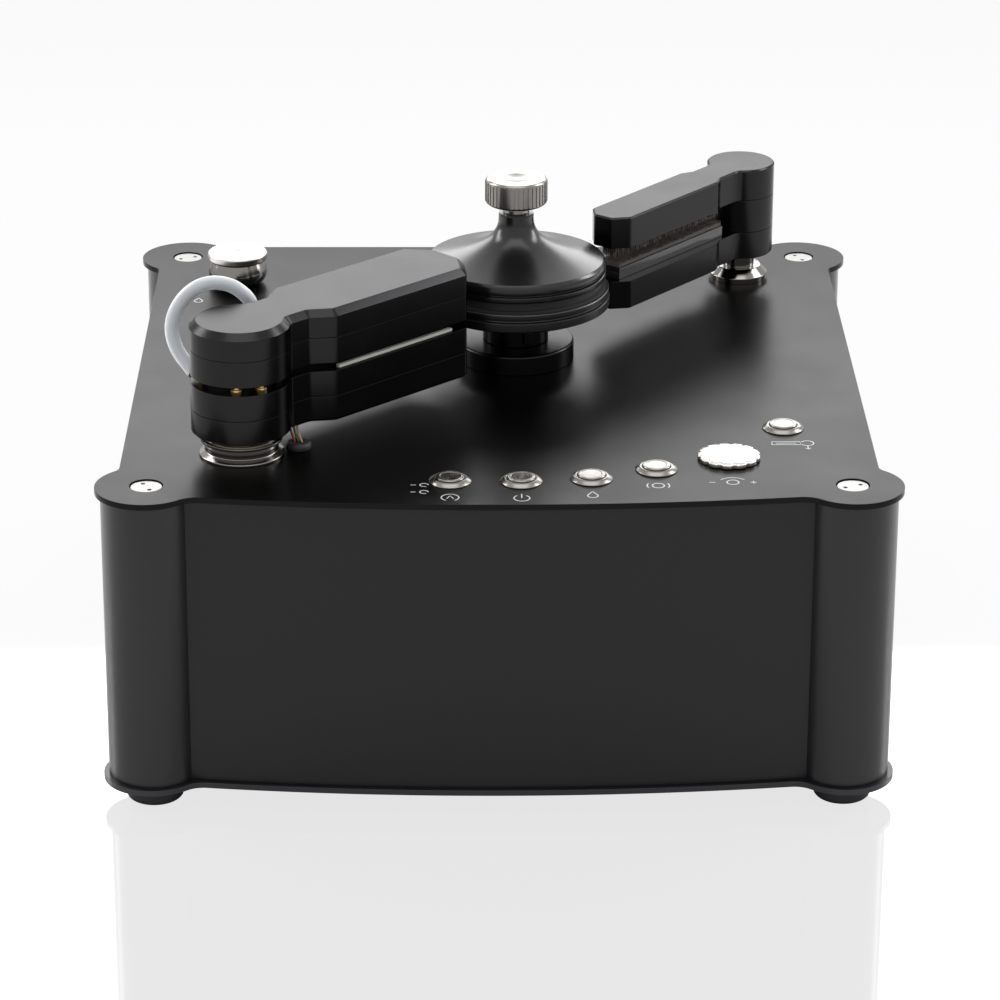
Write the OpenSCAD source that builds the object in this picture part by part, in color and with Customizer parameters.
// Record cleaning machine: a square cabinet with a label-sized platter, a screw-down
// clamp, a vacuum arm and a brush arm on corner pivots, and its pumps and tanks inside.
// Millimetres. X to the right, Y to the back, Z up. The origin is on the floor, under the
// middle of the cabinet. Heights named with _z are measured up from the deck's top face.

/* [Cabinet] */
// Width over the round corner lobes
body_w = 390; // [384:1:410]
// Depth over the round corner lobes
body_d = 390; // [384:1:410]
// Height of the deck's top face above the floor
deck_top = 165; // [160:1:190]
// Thickness of the deck and of the base plate
plate_t = 3; // [2:0.5:5]
// Radius of the corner lobes of both plates
corner_r = 25; // [24:0.5:28]
// How far the straight sides lie inside the lobes
side_inset = 10.4; // [8:0.2:12]
// How far the straight rear edge lies inside the lobes
rear_inset = 8; // [6:0.5:10]
// Rise of the bowed front edge
front_bow = 10; // [8:0.5:12]
// Radius of the hollow between a lobe and a straight edge
hollow_r = 6; // [4:0.5:9]
// Radius of the hollow between a lobe and the bowed front
front_hollow_r = 12; // [8:1:16]
// How far the plates stand out past the posts and panels
overhang = 2.6; // [1.5:0.1:4]
// Thickness of the four wall panels
panel_t = 4; // [3:0.5:5]
// How far a panel's edge reaches into the corner posts
panel_hold = 6; // [5:0.5:8]

/* [Feet and caps] */
// Height of the rubber feet
foot_h = 11; // [8:1:14]
// Radius of the rubber feet
foot_r = 14; // [11:0.5:16]
// Radius of the bright corner screws' heads
cap_r = 7.6; // [6.5:0.1:9]
// Thickness of the corner screws' heads
cap_t = 1.8; // [1.5:0.1:2]
// Radius of the screws that hold the posts
post_screw_r = 3; // [2:0.5:4]
// Length of the screws in the posts
post_screw_len = 32; // [20:1:50]

/* [Platter] */
// Spindle's place to the right of the middle
spindle_x = 10; // [5:1:15]
// Spindle's place behind the middle
spindle_y = 10; // [5:1:15]
// Radius of the label-sized platter
platter_r = 48.6; // [45:0.2:49]
// Height of the platter's underside
platter_z = 28.3; // [26:0.1:30]
// Thickness of the platter
platter_t = 11; // [9:0.5:13]
// Thickness of the mat on the platter
mat_t = 1; // [0.5:0.1:1.5]
// Radius of the stem under the platter
hub_r = 17; // [15:0.5:20]
// Radius of the bearing's disc on the deck
bearing_disc_r = 30.3; // [28:0.1:34]
// Height of the bearing's disc on the deck
bearing_disc_h = 10.4; // [8:0.2:12]
// Radius of the spindle shaft in its bearing
shaft_r = 8; // [6:0.5:10]
// Radius of the pin that centres the record
pin_r = 3.62; // [3.5:0.01:3.7]
// Clearance of running fits, on the radius
fit = 0.06; // [0.03:0.01:0.1]

/* [Clamp] */
// Radius of the clamp's rim
clamp_r = 46.6; // [42:0.2:48]
// Height of the rubber ring under the clamp
seal_t = 4.2; // [3:0.1:6]
// Height of the clamp's grooved rim
rim_h = 9.6; // [8:0.2:12]
// Height of the clamp's hollow bell above its rim
bell_h = 24.6; // [18:0.2:30]
// Radius of the bell at its neck
bell_neck_r = 9.1; // [8:0.1:11]
// Radius of the fluted knob
knob_r = 16.1; // [13:0.1:20]
// Height of the fluted knob
knob_h = 13.6; // [10:0.2:18]
// Number of flutes round the knob
knob_flutes = 40; // [24:1:48]
// Gap between the bell's top and the knob
knob_gap = 5; // [4:0.2:7]

/* [Vacuum arm] */
// Pivot's place to the right of the middle
vac_x = -126; // [-128:1:-124]
// Pivot's place behind the middle
vac_y = -127; // [-129:1:-125]
// Direction in which the arm points at rest
vac_angle = 44; // [42:1:46]
// Radius of the arm's drum
vac_r = 24.5; // [23:0.5:26]
// Half the width of the arm's neck
vac_neck = 16.4; // [14:0.2:18]
// Half the width of the arm's blade
vac_half = 24; // [22:0.5:26]
// Reach of the arm from its pivot
vac_reach = 142; // [134:0.5:142]
// Height of the arm's underside
vac_z = 12; // [11:0.5:14]
// Thickness of each of the arm's four plates
vac_plate_t = 13.25; // [12:0.25:14]
// Height of the slot that the record runs in
vac_slot = 4; // [3.6:0.1:5]
// Chamfer round the arm's top face
vac_chamfer = 3.3; // [2:0.1:4]
// Outer radius of the hollow pivot tube
vac_tube_r = 9; // [8:0.5:11]
// Outside diameter of the suction hose
hose_d = 7; // [6:0.5:8]

/* [Brush arm] */
// Pivot's place to the right of the middle
brush_x = 134; // [132:1:136]
// Pivot's place behind the middle
brush_y = 137; // [135:1:139]
// Direction in which the arm points at rest
brush_angle = 230.8; // [229:0.2:233]
// Radius of the arm's drum
brush_r = 18.2; // [17:0.2:19]
// Half the width of the arm's neck
brush_neck = 9.6; // [8:0.2:11]
// Half the width of the arm's blade
brush_half = 12.7; // [11.5:0.1:14]
// Reach of the arm from its pivot
brush_reach = 124; // [118:0.5:126]
// Height of the arm's underside
brush_z = 15.8; // [14:0.2:18]
// Thickness of the lower plate
brush_low_t = 15.2; // [12:0.2:16]
// Thickness of the plate that carries the bristles
brush_top_t = 16.9; // [14:0.1:20]
// Gap between the two plates
brush_gap = 18.3; // [17:0.1:20]
// Radius of the pivot post
brush_post_r = 8.6; // [7:0.1:10]
// Columns of bristle strands along the arm
strand_columns = 80; // [60:1:90]
// Rows of bristle strands across the arm
strand_rows = 4; // [4:1:5]

/* [Controls] */
// Distance from the arc of controls to the front edge
control_edge = 30; // [28:1:33]
// Radius of the push buttons' rings
bezel_r = 10.4; // [9:0.2:12]
// Radius of the push buttons
button_r = 7; // [6:0.1:8]
// Travel of the push buttons
button_travel = 1.5; // [1:0.1:1.8]
// Radius of the speed knob
speed_r = 15.4; // [13:0.2:17]
// Height of the speed knob
speed_h = 3.2; // [3:0.1:6]
// Number of scallops round the speed knob
speed_scallops = 13; // [10:1:18]

/* [Liquids] */
// Distance from the filler to the left edge
filler_side = 55; // [53:1:57]
// Distance from the filler to the rear edge
filler_rear = 68; // [65:1:70]
// Bore of the filler neck, on the radius
filler_bore_r = 9; // [7:0.5:10]
// Radius of the filler cap's rim
filler_cap_r = 16.1; // [14:0.1:18]
// Height of the filler neck above the deck
filler_neck_h = 13.2; // [11:0.2:16]
// Wall thickness of the tanks
tank_wall = 3; // [2:0.5:4]
// Width and depth of the cleaning liquid's tank
clean_tank_w = 76; // [64:1:80]
// Height of the cleaning liquid's tank
clean_tank_h = 136; // [100:1:138]
// Height of the waste tank
waste_tank_h = 96; // [70:1:100]
// Radius of the drain spout
drain_r = 5; // [4:0.5:7]

/* [Drive] */
// Radius of the pulley on the spindle
big_pulley_r = 42; // [36:1:44]
// Radius of the pulley on the motor
small_pulley_r = 8.4; // [7:0.2:11]
// Height of both pulleys
pulley_h = 9; // [7:0.5:12]
// Distance from the spindle to the motor
motor_distance = 74; // [70:1:80]
// Radius of the platter motor
motor_r = 21; // [17:0.5:23]
// Thickness of the drive belt
belt_t = 1.2; // [0.8:0.1:2]
// Radius of the vacuum turbine
turbine_r = 50; // [40:1:52]
// Height of the vacuum turbine
turbine_h = 78; // [60:1:84]

/* [Hidden] */
$fn = 72;

// Gaps that keep pieces of different bodies clear of each other
air = 0.3;
seat = 0.1;
slack = 0.2;
eps = 0.01;

// Cabinet
lobe_x = body_w / 2 - corner_r;
lobe_y = body_d / 2 - corner_r;
side_x = body_w / 2 - side_inset;
control_arc = spindle_y + body_d / 2 - control_edge;
filler_x = filler_side - body_w / 2;
filler_y = body_d / 2 - filler_rear;
rear_y = body_d / 2 - rear_inset;
post_r = corner_r - overhang;
bow_x = lobe_x - 0.88 * corner_r;
bow_r = (bow_x * bow_x + front_bow * front_bow) / (2 * front_bow);
bow_y = bow_r - body_d / 2;
base_top = foot_h + plate_t;
deck_low = deck_top - plate_t;
wall_h = deck_low - base_top;
panel_x = lobe_x - post_r + panel_hold;
panel_y = lobe_y - post_r + panel_hold;
LOBES = [[-lobe_x, -lobe_y], [lobe_x, -lobe_y], [-lobe_x, lobe_y], [lobe_x, lobe_y]];
foot_stud_r = 3;
foot_stud_len = 10;
vent_count = 14;
vent_x = -64;
vent_pitch = 8;
vent_w = 3;
vent_h = 44;
vent_rise = 52;
cap_recess = 0.6;
cap_slot_depth = cap_recess + cap_t;
pin_hole_r = 1;
pin_hole_x = 4.2;

// Platter, clamp and drive
platter_top = platter_z + platter_t;
record_z = platter_top + mat_t;
housing_r = 20;
housing_low = -38;
bush_outer_r = shaft_r + fit + 2;
bush_fit = 0.05;
bush_len = 9;
pulley_top = housing_low - air;
pulley_z = pulley_top - pulley_h;
pulley_rim_t = 1;
pin_top = record_z + seal_t + rim_h + bell_h - 2;
clamp_z = record_z + seat + seal_t;
rim_slope = 1.4;
groove_depth = 1.1;
bell_steps = 14;
bell_spread = 1.6;
bell_curve = 3.2;
bell_z = clamp_z + rim_h;
neck_z = bell_z + bell_h;
collar_r = 6.85;
collar_h = 2.6;
knob_stud_r = pin_r;
knob_neck_r = 8.9;
knob_z = neck_z + knob_gap;
dish_r = 6.8;
dish_depth = 0.8;
flute_r = 1.05;
hub_low = bearing_disc_h + air;
lug_angle = -70;
lug_w = 5;
lug_h = 6.8;
lug_out = 2.5;
motor_x = spindle_x + motor_distance;
motor_shaft_r = 3;
motor_low = pulley_top + 1;
motor_bore = 8;

// Vacuum arm, as heights above the deck
vac_low_z = vac_z + vac_plate_t;
vac_slot_z = vac_low_z + vac_plate_t;
vac_up_z = vac_slot_z + vac_slot;
vac_cover_z = vac_up_z + vac_plate_t;
vac_top_z = vac_cover_z + vac_plate_t + 0.75;
vac_low_chamfer = 1.6;
vac_hollow = 5;
vac_round = 6;
vac_tip = 9.6;
vac_tip_r = 3.6;
vac_bore_r = 6;
vac_flange_r = 20.9;
vac_tube_low = -30;
vac_tube_top = 36;
vac_cut = 11.5;
vac_shoulder = [31, 41.5];
lip_from = 44.8;
lip_to = 121.8;
lip_edge = 1.5;
lip_w = 2.5;
lip_h = 1.7;
guide_r = 1.6;
guide_at = vac_r - 6;
guide_hold = 8;
guide_nut_r = 3;
GUIDES = [137, 28, -28, -99, -137];
duct_w = 2.4;
duct_depth = 5;
duct_r = 1.5;
barb_r = 3.1;

// Brush arm, as heights above the deck
brush_mid_z = brush_z + brush_low_t;
brush_top_z = brush_mid_z + brush_gap;
brush_hollow = 6;
brush_round = 4;
brush_tip = 5.5;
brush_tip_r = 2.5;
brush_post_low = -14;
brush_post_top = 28;
brush_cone_r = 16.1;
brush_cut = 8;
brush_shoulder = [32, 38.5];
brush_chamfer = 0.8;
brush_from = 26;
brush_to = brush_reach - 6;
backing_t = 1.5;
holder_half = 7;
pad_t = 3;
holder_h = 6.3;
comb_half = 5;
record_t = 1.7;
strand_w = 0.3;
strand_tip_z = record_z + record_t + seat;
CORNERS = [[0, 0], [1, 0], [1, 1], [0, 1]];

// Lean and lift of the tip of strand i of row j, from a repeating pattern
function strand_lean(i, j) = [0.34 * sin(137 * i + 71 * j), 0.5 * sin(97 * i + 40 * j),
    0.5 * (1 + sin(211 * i + 83 * j))];

// Controls, as angles round the spindle and radii of their arcs
CONTROLS = [[-101, control_arc + 3], [-89.9, control_arc], [-78.7, control_arc],
    [-67.5, control_arc - 2], [-38.3, control_arc - 7]];
speed_at = [-54.9, control_arc + 3];
bezel_h = 2;
button_rise = 0.9;
thread_r = 8.2;
thread_len = 6;
switch_h = 24;
pot_r = 9;
pot_h = 14;
pot_shaft_r = 3;
pot_thread_r = 4.5;
scallop_r = 2;
board_edge = 16;
board_t = 1.6;
chip_w = 9;
chip_t = 2;
chip_pitch = 28;

// Liquids
neck_r = filler_bore_r + 3;
grommet_neck_r = 4.6;
grommet_r = 6.3;
grommet_h = 3.5;
plug_len = 8;
clean_tank_x = -side_x + overhang + panel_t + 2 + clean_tank_w / 2;
clean_tank_y = filler_y - 21;
tube_r = 3.5;
pump_x = 112;
pump_y = 96;
pump_r = 20;
pump_h = 62;
turbine_x = -24;
turbine_y = 112;
turbine_wall = 4;
turbine_eye_r = 14;
turbine_shaft_r = 4;
turbine_motor_r = 26;
turbine_motor_h = 30;
impeller_r = 40;
impeller_z = turbine_motor_h + 4;
impeller_h = 24;
impeller_blades = 12;
waste_x0 = -side_x + overhang + panel_t + 4;
waste_y0 = -66;
waste_w = 76;
waste_d = 118;
supply_x = 96;
supply_y = -58;
supply_r = 44;
supply_h = 40;
inlet_x = 96;
inlet_z = 44;
inlet_w = 28;
inlet_h = 20;
inlet_depth = 28;
socket_w = 22;
socket_h = 14;
socket_depth = 16;
drain_x = -120;
drain_z = 34;
drain_bore_r = 3;
drain_inner = 10;
drain_nipple = 7;

// Points of the suction hose, from the upper plate to the lower one, measured from the
// vacuum arm's pivot and the deck
HOSE = [[3.2, 30.8, 51.0], [4.0, 33.2, 53.6], [4.6, 35.2, 57.4], [4.6, 36.0, 61.8],
    [3.2, 36.2, 66.4], [-0.4, 36.0, 70.6], [-6.0, 35.8, 74.2], [-13.0, 35.2, 75.8],
    [-20.0, 34.4, 74.8], [-26.2, 33.4, 71.2], [-31.0, 32.2, 65.8], [-34.0, 30.8, 59.4],
    [-34.8, 29.2, 53.0], [-33.4, 27.2, 47.0], [-30.6, 25.0, 42.0], [-27.2, 22.4, 38.0],
    [-24.0, 19.9, 34.6]];

// Points of the inner tubes: vacuum arm to waste tank, waste tank to turbine, liquid tank
// to pump, pump to brush arm, and waste tank to drain; each end is square to what it meets
tank_top = base_top + waste_tank_h;
drain_end = rear_y - overhang - panel_t - drain_inner;
waste_port = [waste_x0 + 42, waste_y0 + 19];
air_port = [waste_x0 + 54, waste_y0 + 86];
WASTE_TUBE = [[vac_x, vac_y, deck_top + vac_tube_low], [vac_x, vac_y, deck_top + vac_tube_low - 6],
    [vac_x - 1, vac_y + 12, 121], [vac_x - 3, vac_y + 34, 119], [vac_x - 5, vac_y + 60, 120],
    [vac_x - 6, vac_y + 72, 119.5], [waste_port[0], waste_port[1], tank_top + 5],
    [waste_port[0], waste_port[1], tank_top]];
AIR_TUBE = [[air_port[0], air_port[1], tank_top], [air_port[0], air_port[1], tank_top + 6],
    [-117, 24, 121], [-110, 31, 126], [-98, 42, 129], [-70, 66, 124], [-40, 94, 114],
    [-28, 107, 104], [turbine_x, turbine_y, base_top + turbine_h + 6],
    [turbine_x, turbine_y, base_top + turbine_h]];
FEED_TUBE = [[clean_tank_x + clean_tank_w / 2, 78, 24], [clean_tank_x + clean_tank_w / 2 + 5, 78, 24],
    [-88, 71, 22], [-82, 58, 20], [-60, 54, 20], [40, 54, 20], [76, 60, 20],
    [pump_x - 0.63 * (pump_r + 8), pump_y - 0.777 * (pump_r + 8), 23],
    [pump_x - 0.63 * (pump_r + air), pump_y - 0.777 * (pump_r + air), 23]];
BRUSH_TUBE = [[pump_x, pump_y, base_top + pump_h], [pump_x, pump_y, base_top + pump_h + 9],
    [pump_x + 4, pump_y + 8, 102], [pump_x + 15, pump_y + 29, 126],
    [brush_x - 2, brush_y - 5, 138], [brush_x, brush_y, deck_top + brush_post_low - 6],
    [brush_x, brush_y, deck_top + brush_post_low]];
DRAIN_TUBE = [[waste_x0 + waste_w, 30, 30], [waste_x0 + waste_w + 5, 30, 30], [-88, 36, 32],
    [-87, 48, 34], [-87, 90, 34], [-88, 138, 34], [-92, 152, 34], [-102, 160, 34],
    [-114, 163, 34], [drain_x, drain_end - 4, drain_z], [drain_x, drain_end, drain_z]];

// Points of the three thin wires, from the grommet to the arm's underside, measured from
// the grommet's middle
grommet_x = -98.5;
grommet_y = -120.5;
wire_r = 0.6;
WIRE = [[0, 0, -10], [0, 0, 2], [-0.8, 0.5, 5], [-1.8, 1.1, 8], [-2.6, 1.6, 11.7]];
WIRE_SPREAD = [[-1.7, 0], [0, 0.9], [1.7, 0]];

// Helpers on lists of points
function unit(v) = v / norm(v);
function bearing(v) = atan2(v[1], v[0]);
function turned(p, a) = [p[0] * cos(a) - p[1] * sin(a), p[0] * sin(a) + p[1] * cos(a)];
function arc(c, r, a, b, n) = [for (i = [0:n]) c + r * [cos(a + (b - a) * i / n), sin(a + (b - a) * i / n)]];
function flipped(list) = [for (i = [len(list) - 1:-1:0]) [list[i][0], -list[i][1]]];
function edge_normal(p, q) = unit([q[1] - p[1], p[0] - q[0]]);
function inset(list, by) = [for (i = [0:len(list) - 1])
    let (n = len(list), p = list[i], a = edge_normal(list[(i + n - 1) % n], p),
        b = edge_normal(p, list[(i + 1) % n])) p - by * (a + b) / (1 + a * b)];

// A corner p between a and b, rounded to radius r with n steps
function rounded(a, p, b, r, n = 5) =
    let (u = unit(a - p), v = unit(b - p), half = acos(u * v) / 2, d = r / tan(half),
        c = p + unit(u + v) * r / sin(half), s = p + u * d, e = p + v * d,
        sa = atan2(s[1] - c[1], s[0] - c[0]), ea = atan2(e[1] - c[1], e[0] - c[0]),
        turn = ea - sa > 180 ? ea - sa - 360 : ea - sa < -180 ? ea - sa + 360 : ea - sa)
    [for (i = [0:n]) c + r * [cos(sa + turn * i / n), sin(sa + turn * i / n)]];

// Upper edge of an arm's blade, from its tip to the tangent point on its drum.
// r drum, neck and half widths, hollow the radius between drum and neck
// tip and cut give the tip's corner, shoulder where the neck starts and ends to widen
function blade_edge(r, neck, half, reach, tip, cut, shoulder, hollow, round_r,
        tip_r) =
    let (hx = sqrt(pow(r + hollow, 2) - pow(neck + hollow, 2)), hc = [hx, neck + hollow],
        ha = atan2(-hc[1], -hc[0]), a = [reach, tip], b = [reach - cut, half],
        s1 = [shoulder[1], half], s0 = [shoulder[0], neck])
    concat(rounded([reach, 0], a, b, tip_r, 3), rounded(a, b, s1, tip_r, 3),
        rounded(b, s1, s0, round_r, 5), rounded(s1, s0, [hx, neck], round_r / 2, 4),
        arc(hc, hollow, -90, ha, 6));
vac_edge = blade_edge(vac_r, vac_neck, vac_half, vac_reach, vac_tip, vac_cut, vac_shoulder,
    vac_hollow, vac_round, vac_tip_r);
brush_edge = blade_edge(brush_r, brush_neck, brush_half, brush_reach, brush_tip, brush_cut,
    brush_shoulder, brush_hollow, brush_round, brush_tip_r);

// Whole outline of an arm, with its drum drawn as n steps
function arm_outline(edge, r, n = 60) =
    let (t = edge[len(edge) - 1], a = atan2(t[1], t[0]))
    concat(flipped(edge), edge, [for (i = [1:n - 1]) r * [cos(a + (360 - 2 * a) * i / n),
        sin(a + (360 - 2 * a) * i / n)]]);

vac_outline = arm_outline(vac_edge, vac_r);
brush_outline = arm_outline(brush_edge, brush_r);

// A solid through layers of [outline, height], from the bottom up, all with as many points
module stack(layers) {
    n = len(layers[0][0]);
    top = (len(layers) - 1) * n;
    points = [for (l = layers) for (p = l[0]) [p[0], p[1], l[1]]];
    sides = [for (k = [0:len(layers) - 2]) for (i = [0:n - 1])
        let (a = k * n + i, b = k * n + (i + 1) % n) [a, a + n, b + n, b]];
    polyhedron(points, concat([[for (i = [0:n - 1]) i]], [[for (i = [n - 1:-1:0]) top + i]], sides));
}

// A round tube along a list of points; flat is a direction that the path stays across
module tube(path, r, sides, flat) {
    n = len(path);
    along = [for (i = [0:n - 1]) unit(path[min(i + 1, n - 1)] - path[max(i - 1, 0)])];
    points = [for (i = [0:n - 1]) let (u = unit(cross(along[i], flat)), v = cross(along[i], u))
        for (k = [0:sides - 1]) path[i] + r * (cos(360 * k / sides) * u + sin(360 * k / sides) * v)];
    walls = [for (i = [0:n - 2]) for (k = [0:sides - 1]) for (s = [0, 1])
        let (a = i * sides + k, b = i * sides + (k + 1) % sides)
        s == 0 ? [a, b + sides, b] : [a, a + sides, b + sides]];
    polyhedron(points, concat([[for (k = [0:sides - 1]) k]],
        [[for (k = [sides - 1:-1:0]) (n - 1) * sides + k]], walls));
}

module on_deck(x, y, angle = 0) {
    translate([x, y, deck_top]) rotate(angle) children();
}

module at_control(i) {
    on_deck(spindle_x + CONTROLS[i][1] * cos(CONTROLS[i][0]),
        spindle_y + CONTROLS[i][1] * sin(CONTROLS[i][0])) children();
}

module at_speed() {
    on_deck(spindle_x + speed_at[1] * cos(speed_at[0]), spindle_y + speed_at[1] * sin(speed_at[0]))
        children();
}

module at_lobes(z) {
    for (p = LOBES) translate([p[0], p[1], z]) children();
}

// Cabinet

// Middle of the hollow between a lobe's middle and an edge this far outside it, that far along
function hollow_run(wide, r) = sqrt(pow(corner_r + r, 2) - pow(wide + r, 2));

// Right half of the plates' outline, from the front's middle round to the rear's
plate_half =
    let (front = [lobe_x, -lobe_y], rear = [lobe_x, lobe_y], bow = [0, bow_y],
        d = norm(front - bow), a = bow_r + front_hollow_r, b = corner_r + front_hollow_r,
        on = (a * a - b * b + d * d) / (2 * d), u = unit(front - bow),
        c1 = bow + on * u + sqrt(a * a - on * on) * [u[1], -u[0]],
        run = hollow_run(side_x - lobe_x, hollow_r), back = hollow_run(rear_y - lobe_y, hollow_r),
        c2 = [side_x + hollow_r, -lobe_y + run], c3 = [side_x + hollow_r, lobe_y - run],
        c4 = [lobe_x - back, rear_y + hollow_r])
    concat(arc(bow, bow_r, -90, bearing(c1 - bow), 24),
        arc(c1, front_hollow_r, bearing(bow - c1), bearing(front - c1), 8),
        arc(front, corner_r, bearing(c1 - front), bearing(c2 - front), 44),
        arc(c2, hollow_r, bearing(front - c2) + 360, 180, 6),
        arc(c3, hollow_r, 180, bearing(rear - c3), 6),
        arc(rear, corner_r, bearing(c3 - rear), bearing(c4 - rear), 44),
        arc(c4, hollow_r, bearing(rear - c4), -90, 6));

module plate_2d() {
    polygon(concat(plate_half, [for (k = [len(plate_half) - 1:-1:1])
        [-plate_half[k][0], plate_half[k][1]]]));
}

// The front panel's plan, grown by a clearance where the posts are slotted for it
module front_panel_2d(grow = 0) {
    intersection() {
        translate([0, bow_y]) difference() {
            circle(bow_r - overhang + grow, $fn = 900);
            circle(bow_r - overhang - panel_t - grow, $fn = 900);
        }
        translate([-panel_x - grow, -body_d / 2]) square([2 * (panel_x + grow), body_d / 4]);
    }
}

module side_panels_2d(grow = 0) {
    for (s = [0, 1]) mirror([s, 0])
        translate([side_x - overhang - panel_t - grow, -panel_y - grow])
            square([panel_t + 2 * grow, 2 * (panel_y + grow)]);
}

module rear_panel_2d(grow = 0) {
    translate([-panel_x - grow, rear_y - overhang - panel_t - grow])
        square([2 * (panel_x + grow), panel_t + 2 * grow]);
}

module wall(h = wall_h) {
    translate([0, 0, base_top]) linear_extrude(h) children();
}

module deck_plate() {
    color("#1b1b1d") difference() {
        translate([0, 0, deck_low]) linear_extrude(plate_t) plate_2d();
        at_lobes(deck_top - cap_slot_depth) cylinder(h = plate_t, r = cap_r + 0.5);
        at_lobes(deck_low - 1) cylinder(h = plate_t + 1, r = post_screw_r + slack);
        translate([0, 0, -plate_t - 1]) {
            on_deck(spindle_x, spindle_y) cylinder(h = plate_t + 2, r = housing_r + slack);
            on_deck(vac_x, vac_y) cylinder(h = plate_t + 2, r = vac_tube_r + slack);
            on_deck(brush_x, brush_y) cylinder(h = plate_t + 2, r = brush_post_r + slack);
            on_deck(filler_x, filler_y) cylinder(h = plate_t + 2, r = neck_r + slack);
            on_deck(grommet_x, grommet_y) cylinder(h = plate_t + 2, r = grommet_neck_r + slack);
            for (i = [0:4]) at_control(i) cylinder(h = plate_t + 2, r = thread_r + slack);
            at_speed() cylinder(h = plate_t + 2, r = pot_thread_r + slack);
        }
    }
}

module base_plate() {
    color("#1b1b1d") difference() {
        translate([0, 0, foot_h]) linear_extrude(plate_t) plate_2d();
        at_lobes(foot_h - 1) cylinder(h = plate_t + 2, r = foot_stud_r + slack);
    }
}

module front_panel() {
    color("#222225") wall() front_panel_2d();
}

module side_panels() {
    color("#222225") wall() side_panels_2d();
}

module rear_panel() {
    color("#222225") difference() {
        wall() rear_panel_2d();
        translate([inlet_x - inlet_w / 2 - slack, 0, inlet_z - inlet_h / 2 - slack])
            cube([inlet_w + 2 * slack, body_d, inlet_h + 2 * slack]);
        translate([drain_x, 0, drain_z]) rotate([-90, 0, 0]) cylinder(h = body_d, r = drain_r + slack);
        for (i = [0:vent_count - 1])
            translate([vent_x + i * vent_pitch, 0, base_top + vent_rise])
                cube([vent_w, body_d, vent_h]);
    }
}

module corner_posts() {
    color("#1e1e20") difference() {
        at_lobes(base_top) cylinder(h = wall_h, r = post_r);
        wall() front_panel_2d(slack);
        wall() side_panels_2d(slack);
        wall() rear_panel_2d(slack);
        at_lobes(deck_low - post_screw_len) cylinder(h = post_screw_len + 1, r = post_screw_r + fit);
        at_lobes(base_top - 1) cylinder(h = foot_stud_len + 2, r = foot_stud_r + fit);
    }
}

module post_caps() {
    color("#d9d6d0") for (p = LOBES)
        translate([p[0], p[1], deck_top - cap_slot_depth]) difference() {
            union() {
                cylinder(h = cap_t, r = cap_r);
                translate([0, 0, 1 - post_screw_len]) cylinder(h = post_screw_len, r = post_screw_r);
            }
            rotate(atan2(p[1], p[0]) + 70) for (s = [-1, 1])
                translate([s * pin_hole_x, 0, cap_t - 1]) cylinder(h = 2, r = pin_hole_r);
        }
}

module feet() {
    color("#141414") at_lobes(0) {
        rotate_extrude() polygon([[0, 0], [foot_r - 1.5, 0], [foot_r, 1.5], [foot_r, foot_h - 2],
            [foot_r - 1, foot_h], [0, foot_h]]);
        translate([0, 0, foot_h - 1]) cylinder(h = plate_t + foot_stud_len, r = foot_stud_r);
    }
}

// Controls

module bezel() {
    rotate_extrude() polygon([[button_r + fit, -thread_len], [thread_r, -thread_len],
        [thread_r, 0], [bezel_r, 0], [bezel_r, 0.5], [bezel_r - 1.4, 1.6],
        [bezel_r - 2.4, bezel_h], [button_r + fit, bezel_h]]);
}

module button_bezels() {
    color("#cfccc6") for (i = [0:4]) at_control(i) bezel();
}

module button_switches() {
    color("#2b2b2b") for (i = [0:4]) at_control(i)
        translate([0, 0, -thread_len - switch_h]) cylinder(h = switch_h, r = thread_r + 1);
}

// A push button: dished on top, with a stem that stays clear of the switch at full travel
module button(i) {
    low = button_travel + air - thread_len;
    color("#dedbd5") at_control(i) rotate_extrude() polygon([[0, low], [button_r, low],
        [button_r, bezel_h + button_rise - 0.4], [button_r - 0.5, bezel_h + button_rise],
        [button_r - 2, bezel_h + button_rise - 0.1], [0, bezel_h + button_rise - 0.3]]);
}

module auto_button() { button(0); }
module power_button() { button(1); }
module liquid_button() { button(2); }
module platter_button() { button(3); }
module vacuum_button() { button(4); }

module potentiometer() {
    color("#8d8f92") at_speed() difference() {
        union() {
            translate([0, 0, -plate_t - pot_h]) cylinder(h = pot_h, r = pot_r);
            translate([0, 0, -plate_t - 1]) cylinder(h = plate_t, r = pot_thread_r);
        }
        translate([0, 0, -plate_t - pot_h + 3]) cylinder(h = pot_h + plate_t, r = pot_shaft_r + fit);
    }
}

module speed_knob() {
    color("#e2dfd9") at_speed() {
        difference() {
            rotate_extrude() polygon([[0, air], [speed_r - 0.8, air], [speed_r, air + 0.7],
                [speed_r, speed_h - 1], [speed_r - 1.2, speed_h], [0, speed_h]]);
            for (i = [0:speed_scallops - 1]) rotate(360 * (i + 0.5) / speed_scallops)
                translate([speed_r + 0.9, 0, -1]) cylinder(h = speed_h + 2, r = scallop_r);
        }
        translate([0, 0, -plate_t - pot_h + 3.5])
            cylinder(h = plate_t + pot_h - 3.5 + 1, r = pot_shaft_r);
    }
}

module control_board() {
    a = CONTROLS[0];
    b = CONTROLS[3];
    x0 = spindle_x + a[1] * cos(a[0]) - board_edge;
    x1 = spindle_x + b[1] * cos(b[0]) + board_edge;
    y0 = spindle_y + CONTROLS[1][1] * sin(CONTROLS[1][0]) - board_edge;
    y1 = spindle_y + b[1] * sin(b[0]) + board_edge;
    z = deck_top - thread_len - switch_h - board_t;
    color("#1f5a35") translate([x0, y0, z]) cube([x1 - x0, y1 - y0, board_t]);
    color("#202020") for (i = [0:3])
        translate([x0 + 14 + i * chip_pitch, y1 - 16, z - chip_t]) cube([chip_w, chip_w, chip_t]);
}

// Platter, its bearing and its drive

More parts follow.
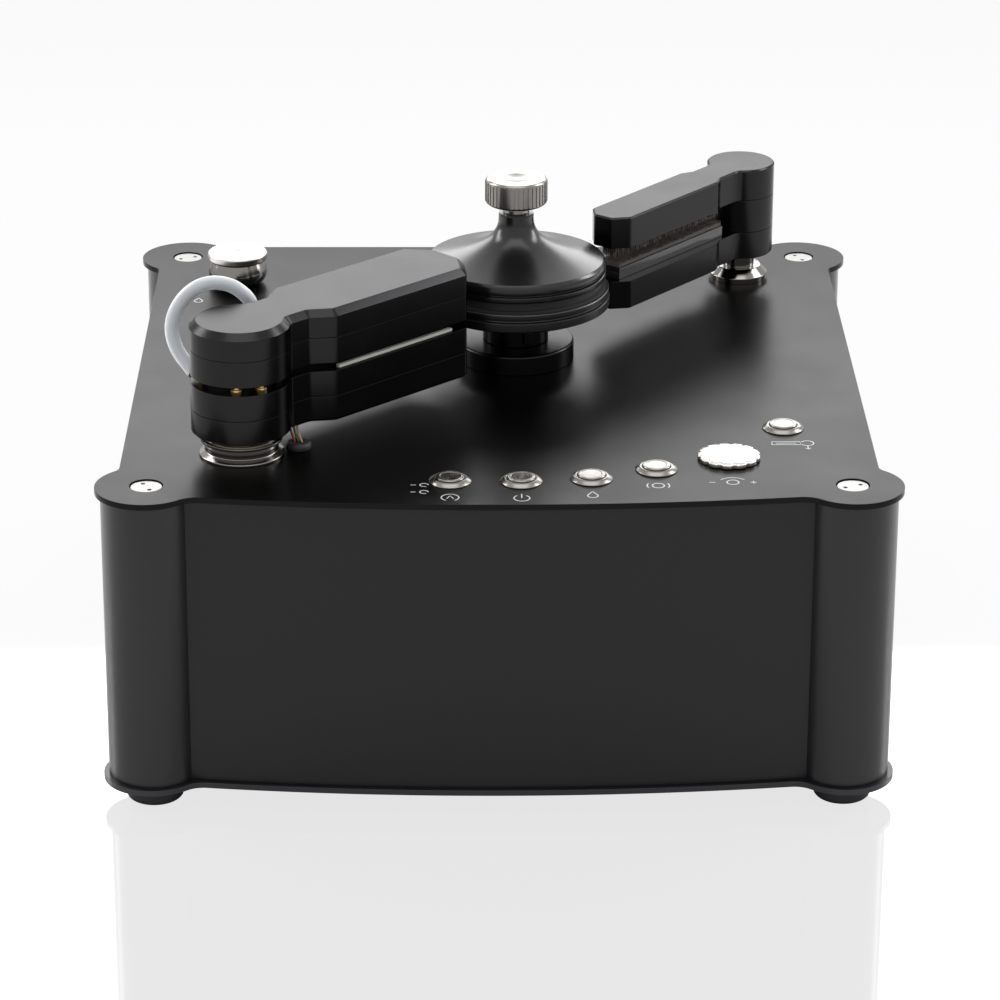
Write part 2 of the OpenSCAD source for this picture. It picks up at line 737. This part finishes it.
module bearing_housing() {
    color("#17171a") on_deck(spindle_x, spindle_y) rotate_extrude() polygon([
        [bush_outer_r, housing_low], [housing_r, housing_low], [housing_r, 0],
        [bearing_disc_r, 0], [bearing_disc_r, bearing_disc_h - 0.8],
        [bearing_disc_r - 0.8, bearing_disc_h], [bush_outer_r, bearing_disc_h]]);
}

module bearing_bushes() {
    color("#b08d4c") on_deck(spindle_x, spindle_y)
        for (z = [housing_low, bearing_disc_h - bush_len]) translate([0, 0, z]) difference() {
            cylinder(h = bush_len, r = bush_outer_r - bush_fit);
            translate([0, 0, -1]) cylinder(h = bush_len + 2, r = shaft_r + fit);
        }
}

module spindle() {
    color("#c9c9c9") on_deck(spindle_x, spindle_y) rotate_extrude() polygon([
        [0, pulley_z - 3], [shaft_r, pulley_z - 3], [shaft_r, platter_z + 4],
        [pin_r, platter_z + 4], [pin_r, pin_top - 1.5], [pin_r - 1.5, pin_top], [0, pin_top]]);
}

// A flanged pulley whose belt face has radius r
module pulley(r, bore_r) {
    rim = r + belt_t + air;
    rotate_extrude() polygon([[bore_r, 0], [rim, 0], [rim, pulley_rim_t], [r, pulley_rim_t],
        [r, pulley_h - pulley_rim_t], [rim, pulley_h - pulley_rim_t], [rim, pulley_h],
        [bore_r, pulley_h]]);
}

module spindle_pulley() {
    color("#8f9194") on_deck(spindle_x, spindle_y) translate([0, 0, pulley_z])
        pulley(big_pulley_r, shaft_r + fit);
}

module motor_pulley() {
    color("#b9bbbd") on_deck(motor_x, spindle_y) {
        translate([0, 0, pulley_z]) pulley(small_pulley_r, 0);
        translate([0, 0, pulley_top - 1])
            cylinder(h = motor_low - pulley_top + 1 + motor_bore, r = motor_shaft_r);
    }
}

module platter_motor() {
    color("#6d7074") on_deck(motor_x, spindle_y) difference() {
        translate([0, 0, motor_low]) cylinder(h = -plate_t - motor_low, r = motor_r);
        translate([0, 0, motor_low - 1])
            cylinder(h = motor_bore + 1 + slack, r = motor_shaft_r + fit);
    }
}

// The belt's loop in plan, with its face this far outside the pulleys' faces
module belt_loop(out) {
    a = big_pulley_r + out;
    b = small_pulley_r + out;
    lean = acos((a - b) / motor_distance);
    polygon(concat(arc([0, 0], a, lean, 360 - lean, 72),
        arc([motor_distance, 0], b, -lean, lean, 24)));
}

module drive_belt() {
    low = pulley_z + pulley_rim_t + air;
    color("#101010") on_deck(spindle_x, spindle_y) translate([0, 0, low])
        linear_extrude(pulley_h - 2 * (pulley_rim_t + air)) difference() {
            belt_loop(air + belt_t);
            belt_loop(air);
        }
}

module platter_hub() {
    color("#17171a") on_deck(spindle_x, spindle_y) difference() {
        union() {
            translate([0, 0, hub_low]) cylinder(h = platter_z - hub_low, r = hub_r);
            rotate(lug_angle) translate([hub_r - 2, -lug_w / 2, hub_low + 2.5])
                cube([lug_out + 2, lug_w, lug_h]);
        }
        cylinder(h = platter_z + 1, r = shaft_r + fit);
    }
}

module platter() {
    z = platter_z;
    top = platter_top;
    r = platter_r;
    color("#19191b") on_deck(spindle_x, spindle_y) difference() {
        rotate_extrude() polygon([[0, z], [r - 4.5, z], [r, z + 2], [r, z + 6.4], [r - 1.6, z + 6.8],
            [r - 1.6, z + 7.8], [r - 0.4, z + 8.1], [r - 0.4, top - 0.4], [r - 0.8, top], [0, top]]);
        translate([0, 0, z - 1]) cylinder(h = 5 + fit, r = shaft_r + fit);
        cylinder(h = top + 1, r = pin_r + fit);
    }
}

module platter_mat() {
    color("#0f0f10") on_deck(spindle_x, spindle_y) translate([0, 0, platter_top]) difference() {
        cylinder(h = mat_t, r = clamp_r);
        translate([0, 0, -1]) cylinder(h = mat_t + 2, r = pin_r + 2);
    }
}

// Clamp

module clamp_seal() {
    color("#0d0d0e") on_deck(spindle_x, spindle_y) translate([0, 0, record_z + seat]) difference() {
        cylinder(h = seal_t, r = clamp_r - 2.2);
        translate([0, 0, -1]) cylinder(h = seal_t + 2, r = clamp_r - 12);
    }
}

module clamp_body() {
    r = clamp_r;
    z = clamp_z;
    bell = [for (i = [0:bell_steps]) let (s = pow(i / bell_steps, bell_spread))
        [bell_neck_r + (r - rim_slope - bell_neck_r) * pow(1 - s, bell_curve), bell_z + s * bell_h]];
    color("#1c1c1e") on_deck(spindle_x, spindle_y) difference() {
        rotate_extrude($fn = 144) polygon(concat([[0, z], [r - 0.6, z], [r, z + 0.6], [r, z + 3.3],
            [r - groove_depth, z + 3.6], [r - groove_depth, z + 4.1], [r, z + 4.5],
            [r, z + 6.8]], bell, [[0, neck_z]]));
        cylinder(h = neck_z + 1, r = pin_r + fit);
    }
}

module clamp_collar() {
    color("#cfcac2") on_deck(spindle_x, spindle_y) translate([0, 0, neck_z]) difference() {
        cylinder(h = collar_h, r = collar_r);
        translate([0, 0, -1]) cylinder(h = collar_h + 2, r = knob_stud_r + fit);
    }
}

module knob_neck() {
    low = neck_z + collar_h + seat;
    color("#161618") on_deck(spindle_x, spindle_y) {
        rotate_extrude() polygon([[0, low], [collar_r, low], [knob_neck_r, knob_z - 0.6],
            [knob_neck_r, knob_z], [0, knob_z]]);
        translate([0, 0, neck_z - 1.5]) cylinder(h = collar_h + seat + 2, r = knob_stud_r);
    }
}

module clamp_knob() {
    color("#dcd5cb") on_deck(spindle_x, spindle_y) translate([0, 0, knob_z]) difference() {
        rotate_extrude() polygon([[0, 0], [knob_r - 0.8, 0], [knob_r, 0.8], [knob_r, knob_h - 0.7],
            [knob_r - 0.7, knob_h], [dish_r, knob_h], [dish_r - 1, knob_h - dish_depth],
            [0, knob_h - dish_depth]]);
        for (i = [0:knob_flutes - 1]) rotate(360 * i / knob_flutes)
            translate([knob_r + flute_r * 0.55, 0, -1]) cylinder(h = knob_h + 2, r = flute_r, $fn = 20);
    }
}

// Vacuum arm

module vac_local() {
    on_deck(vac_x, vac_y, vac_angle) children();
}

module vac_pivot() {
    r = vac_flange_r;
    color("#c4c0b8") on_deck(vac_x, vac_y) rotate_extrude() polygon([[vac_bore_r, vac_tube_low],
        [vac_tube_r, vac_tube_low], [vac_tube_r, 0], [r, 0], [r, 1.2], [r - 2.7, 3],
        [r - 2.7, 5.2], [r - 0.7, 8], [r - 0.7, 9.2], [r - 3.9, 9.2], [r - 3.9, vac_z - air],
        [vac_tube_r, vac_z - air], [vac_tube_r, vac_tube_top], [vac_bore_r, vac_tube_top]]);
}

module vac_arm_base() {
    color("#19191a") vac_local() difference() {
        stack([[inset(vac_outline, vac_low_chamfer), vac_z], [vac_outline, vac_z + vac_low_chamfer],
            [vac_outline, vac_low_z]]);
        cylinder(h = vac_low_z + 1, r = vac_tube_r + fit);
    }
}

module vac_arm_lower() {
    color("#19191a") {
        vac_local() difference() {
            stack([[vac_outline, vac_low_z], [vac_outline, vac_slot_z]]);
            cylinder(h = vac_tube_top + air, r = vac_tube_r + fit);
            translate([lip_from, -duct_w / 2, vac_slot_z - duct_depth])
                cube([lip_to - lip_from, duct_w, duct_depth + 1]);
            translate([0, 0, vac_slot_z - duct_depth + duct_r]) rotate([0, 90, 0])
                cylinder(h = lip_from + 1, r = duct_r);
            at_guides() translate([0, 0, vac_slot_z - guide_hold])
                cylinder(h = guide_hold + 1, r = guide_r);
        }
        barb(HOSE[len(HOSE) - 1], HOSE[len(HOSE) - 2], 10);
    }
}

// Upper plate: it rides up and down on the guide pins
module vac_arm_upper() {
    color("#19191a") {
        vac_local() difference() {
            stack([[vac_outline, vac_up_z], [vac_outline, vac_cover_z]]);
            translate([lip_from, -duct_w / 2, vac_up_z - 1])
                cube([lip_to - lip_from, duct_w, duct_depth + 1]);
            at_guides() translate([0, 0, vac_up_z - 1])
                cylinder(h = guide_hold + 1 + air, r = guide_r + fit);
        }
        barb(HOSE[0], HOSE[1], 8.5);
    }
}

module vac_arm_cover() {
    color("#19191a") vac_local() stack([[vac_outline, vac_cover_z],
        [vac_outline, vac_top_z - vac_chamfer], [inset(vac_outline, vac_chamfer), vac_top_z]]);
}

module at_guides() {
    for (a = GUIDES) rotate(a) translate([guide_at, 0, 0]) children();
}

module vac_guide_pins() {
    color("#c9a353") vac_local() at_guides() {
        translate([0, 0, vac_slot_z - guide_hold])
            cylinder(h = 2 * guide_hold + vac_slot, r = guide_r);
        translate([0, 0, vac_slot_z]) cylinder(h = lip_h, r = guide_nut_r);
    }
}

module vac_lips() {
    color("#cfcbc4") vac_local() for (s = [-1, 1])
        translate([lip_from, s * (vac_half - lip_edge - lip_w / 2) - lip_w / 2, vac_slot_z])
            cube([lip_to - lip_from, lip_w, lip_h]);
}

// A hose barb that ends just short of one end of the suction hose and points along it
module barb(from, to, len) {
    d = unit(to - from);
    translate([vac_x, vac_y, deck_top] + from - len * d)
        rotate([0, acos(d[2]), atan2(d[1], d[0])]) cylinder(h = len - seat, r = barb_r);
}

module suction_hose() {
    color("#dcdcd8") tube([for (p = HOSE) p + [vac_x, vac_y, deck_top]], hose_d / 2, 12, [0, 1, 0]);
}

module deck_grommet() {
    bore = grommet_neck_r - 1.9;
    color("#0c0c0c") on_deck(grommet_x, grommet_y) rotate_extrude() polygon([[bore, -plate_t],
        [grommet_neck_r, -plate_t], [grommet_neck_r, 0], [grommet_r, 0], [grommet_r, 2],
        [grommet_r - 1.1, grommet_h], [bore, grommet_h]]);
}

module arm_wires() {
    color("#151515") for (w = WIRE_SPREAD)
        tube([for (p = WIRE) p + [grommet_x + w[0], grommet_y + w[1], deck_top]], wire_r, 6,
            [1, 0, 0]);
}

// Brush arm

module brush_local() {
    on_deck(brush_x, brush_y, brush_angle) children();
}

module brush_pivot() {
    r = brush_cone_r;
    color("#cdc8c0") on_deck(brush_x, brush_y) rotate_extrude() polygon([[0, brush_post_low],
        [brush_post_r, brush_post_low], [brush_post_r, 0], [r - 1.1, 0], [r - 1.1, 3], [r, 3],
        [r, 3.5], [r - 4.1, 7.5], [brush_post_r, 7.5], [brush_post_r, brush_post_top],
        [0, brush_post_top]]);
}

// Lower plate, with the bar that holds the lower brush
module brush_arm_lower() {
    color("#171718") brush_local() {
        difference() {
            stack([[inset(brush_outline, brush_chamfer), brush_z],
                [brush_outline, brush_z + brush_chamfer], [brush_outline, brush_mid_z]]);
            cylinder(h = brush_post_top + air, r = brush_post_r + fit);
        }
        translate([brush_from, -holder_half, brush_mid_z - 0.5])
            cube([brush_to - brush_from, 2 * holder_half, holder_h + 0.5]);
    }
}

module lower_brush() {
    color("#6b5a4a") brush_local()
        translate([brush_from, -holder_half, brush_mid_z + holder_h])
            cube([brush_to - brush_from, 2 * holder_half, pad_t - seat]);
}

module brush_arm_spacer() {
    color("#171718") brush_local() translate([0, 0, brush_mid_z])
        cylinder(h = brush_gap, r = brush_r);
}

module brush_arm_cover() {
    top = brush_top_z + brush_top_t;
    color("#171718") brush_local() stack([[brush_outline, brush_top_z],
        [brush_outline, top - brush_chamfer], [inset(brush_outline, brush_chamfer), top]]);
}

// Upper brush: a slice of backing whose underside is a grid of cells, each drawn out to the
// leaning tip of one tapered strand, so that neighbours share their foot's edges
function comb_at(i, j) = i * (strand_rows + 1) + j;

module upper_brush() {
    nx = strand_columns;
    ny = strand_rows;
    cell = [(brush_to - brush_from) / nx, 2 * comb_half / ny];
    z = brush_top_z - backing_t;
    base = [for (i = [0:nx]) for (j = [0:ny])
        [brush_from + i * cell[0], j * cell[1] - comb_half, z]];
    cells = [for (i = [0:nx - 1]) for (j = [0:ny - 1]) [i, j]];
    tips = [for (c = cells) for (k = CORNERS) let (lean = strand_lean(c[0], c[1]))
        [brush_from + (c[0] + 0.5) * cell[0] + lean[0] + (k[0] - 0.5) * strand_w,
            (c[1] + 0.5) * cell[1] - comb_half + lean[1] + (k[1] - 0.5) * strand_w,
            strand_tip_z + lean[2]]];
    first_tip = len(base);
    first_top = first_tip + len(tips);
    top = [for (k = CORNERS) [brush_from + k[0] * nx * cell[0],
        k[1] * 2 * comb_half - comb_half, brush_top_z]];
    strands = [for (m = [0:len(cells) - 1]) for (k = [0:3]) for (s = [0, 1])
        let (c = cells[m], n = (k + 1) % 4, t = first_tip + 4 * m,
            a = comb_at(c[0] + CORNERS[k][0], c[1] + CORNERS[k][1]),
            b = comb_at(c[0] + CORNERS[n][0], c[1] + CORNERS[n][1]))
        s == 0 ? [a, b, t + n] : [a, t + n, t + k]];
    ends = [for (m = [0:len(cells) - 1]) for (s = [0, 1]) let (t = first_tip + 4 * m)
        s == 0 ? [t, t + 1, t + 2] : [t, t + 2, t + 3]];
    rim = concat([for (i = [0:nx - 1]) comb_at(i, 0)], [for (j = [0:ny - 1]) comb_at(nx, j)],
        [for (i = [nx:-1:1]) comb_at(i, ny)], [for (j = [ny:-1:1]) comb_at(0, j)]);
    turns = [0, nx, nx + ny, 2 * nx + ny, 2 * nx + 2 * ny];
    walls = [for (k = [0:3]) for (i = [turns[k]:turns[k + 1] - 1])
        [rim[(i + 1) % len(rim)], rim[i], first_top + k]];
    posts = [for (k = [0:3]) [rim[turns[k + 1] % len(rim)], first_top + k, first_top + (k + 1) % 4]];
    roof = [[first_top + 2, first_top + 1, first_top], [first_top + 3, first_top + 2, first_top]];
    color("#3b342d") brush_local()
        polyhedron(concat(base, tips, top), concat(strands, ends, walls, posts, roof));
}

// Liquids, from the filler to the drain

module filler_neck() {
    r = filler_bore_r;
    low = base_top + clean_tank_h - deck_top;
    h = filler_neck_h;
    color("#cfcac2") on_deck(filler_x, filler_y) rotate_extrude() polygon([[r, low],
        [neck_r, low], [neck_r, 0], [neck_r + 0.4, 0.5], [neck_r + 2.6, 2.6], [neck_r + 3.7, 4.8],
        [neck_r + 4, 6.5], [neck_r + 3.6, 8.8], [neck_r + 2.4, h - 1.7], [neck_r + 1.8, h],
        [r, h]]);
}

module filler_cap() {
    r = filler_cap_r;
    low = filler_neck_h + air;
    color("#d8d3ca") on_deck(filler_x, filler_y) rotate_extrude() polygon([
        [0, low - plug_len], [filler_bore_r - 0.1, low - plug_len], [filler_bore_r - 0.1, low],
        [r - 0.8, low], [r, low + 0.8], [r, low + 3.6], [r - 0.5, low + 4.3],
        [r - 1.8, low + 4.5], [3.2, low + 4.5], [2, low + 3.9], [0, low + 3.7]]);
}

module liquid_tank() {
    w = clean_tank_w;
    color("#e8e8e2") translate([clean_tank_x - w / 2, clean_tank_y - w / 2, base_top]) difference() {
        cube([w, w, clean_tank_h]);
        translate([tank_wall, tank_wall, tank_wall])
            cube([w - 2 * tank_wall, w - 2 * tank_wall, clean_tank_h - 2 * tank_wall]);
        translate([filler_x - clean_tank_x + w / 2, filler_y - clean_tank_y + w / 2,
            clean_tank_h - tank_wall - 1]) cylinder(h = tank_wall + 2, r = filler_bore_r);
    }
}

module waste_tank() {
    t = tank_wall;
    color("#b8c4c8") translate([waste_x0, waste_y0, base_top]) difference() {
        cube([waste_w, waste_d, waste_tank_h]);
        translate([t, t, t]) cube([waste_w - 2 * t, waste_d - 2 * t, waste_tank_h - 2 * t]);
        for (p = [WASTE_TUBE[len(WASTE_TUBE) - 1], AIR_TUBE[0]])
            translate([p[0] - waste_x0, p[1] - waste_y0, waste_tank_h - t - 1])
                cylinder(h = t + 2, r = tube_r - 0.5);
    }
}

module liquid_pump() {
    color("#54585c") translate([pump_x, pump_y, base_top]) rotate_extrude() polygon([[0, 0],
        [pump_r, 0], [pump_r, 16], [pump_r - 3, 18], [pump_r - 3, pump_h - 6], [9, pump_h - 4],
        [9, pump_h], [0, pump_h]]);
}

module turbine_housing() {
    w = turbine_wall;
    color("#3c3f42") translate([turbine_x, turbine_y, base_top]) {
        difference() {
            cylinder(h = turbine_h, r = turbine_r);
            translate([0, 0, w]) cylinder(h = turbine_h - 2 * w, r = turbine_r - w);
            translate([0, 0, turbine_h - w - 1]) cylinder(h = w + 2, r = turbine_eye_r);
            translate([-12, turbine_r - 12, impeller_z]) cube([24, 14, impeller_h]);
        }
        translate([0, 0, w - 1]) cylinder(h = turbine_motor_h - w + 1, r = turbine_motor_r);
        translate([0, 0, turbine_motor_h - 1]) cylinder(h = impeller_h, r = turbine_shaft_r);
    }
}

module turbine_impeller() {
    color("#8b8e90") translate([turbine_x, turbine_y, base_top + impeller_z]) difference() {
        union() {
            cylinder(h = 3, r = impeller_r);
            cylinder(h = impeller_h, r = 11);
            for (i = [0:impeller_blades - 1]) rotate(360 * i / impeller_blades)
                translate([10, -1, 2]) cube([impeller_r - 10.5, 2, impeller_h - 4]);
        }
        translate([0, 0, -1]) cylinder(h = impeller_h - 4, r = turbine_shaft_r + fit);
    }
}

module drain_spout() {
    inner = drain_inner;
    outer = inner + panel_t;
    color("#c8c5bf") translate([drain_x, rear_y - overhang - outer, drain_z]) rotate([-90, 0, 0])
        rotate_extrude() polygon([[drain_bore_r, 0], [drain_r, 0], [drain_r, outer],
            [drain_r + 3, outer], [drain_r + 3, outer + 2], [drain_r, outer + 2],
            [drain_r, outer + 2 + drain_nipple - 0.6], [drain_r - 0.6, outer + 2 + drain_nipple],
            [drain_bore_r, outer + 2 + drain_nipple]]);
}

module mains_inlet() {
    y = rear_y - overhang;
    color("#141414") difference() {
        union() {
            translate([inlet_x - inlet_w / 2, y - inlet_depth, inlet_z - inlet_h / 2])
                cube([inlet_w, inlet_depth + 1, inlet_h]);
            translate([inlet_x - inlet_w / 2 - 3, y, inlet_z - inlet_h / 2 - 3])
                cube([inlet_w + 6, 2, inlet_h + 6]);
        }
        translate([inlet_x - socket_w / 2, y + 2 - socket_depth, inlet_z - socket_h / 2])
            cube([socket_w, socket_depth + 1, socket_h]);
    }
    color("#c9a353") for (p = [[-5, -1.5], [5, -1.5], [0, 2]])
        translate([inlet_x + p[0] - 1, y + 1 - socket_depth, inlet_z + p[1] - 2])
            cube([2, socket_depth - 6, 4]);
}

module power_supply() {
    r = supply_r;
    h = supply_h;
    color("#7b5a2c") translate([supply_x, supply_y, base_top]) rotate_extrude() polygon([[0, 0],
        [r - 4, 0], [r, 4], [r, h - 4], [r - 4, h], [26, h], [26, h + 3], [5, h + 3],
        [5, h + 7], [0, h + 7]]);
}

module inner_hoses() {
    color("#d5d5cf") for (path = [WASTE_TUBE, AIR_TUBE, FEED_TUBE, BRUSH_TUBE, DRAIN_TUBE])
        tube(path, tube_r, 8, [0.05, 0.03, 1]);
}

// Pieces
deck_plate();
base_plate();
front_panel();
side_panels();
rear_panel();
corner_posts();
post_caps();
feet();
button_bezels();
button_switches();
potentiometer();
control_board();
bearing_housing();
bearing_bushes();
platter_motor();
drive_belt();
vac_pivot();
brush_pivot();
deck_grommet();
arm_wires();
filler_neck();
liquid_tank();
waste_tank();
liquid_pump();
turbine_housing();
mains_inlet();
power_supply();
drain_spout();
inner_hoses();
spindle();
spindle_pulley();
platter_hub();
platter();
platter_mat();
motor_pulley();
clamp_body();
clamp_seal();
clamp_collar();
knob_neck();
clamp_knob();
speed_knob();
auto_button();
power_button();
liquid_button();
platter_button();
vacuum_button();
filler_cap();
turbine_impeller();
vac_arm_base();
vac_arm_lower();
vac_arm_upper();
vac_arm_cover();
vac_guide_pins();
vac_lips();
suction_hose();
brush_arm_lower();
brush_arm_spacer();
brush_arm_cover();
upper_brush();
lower_brush();
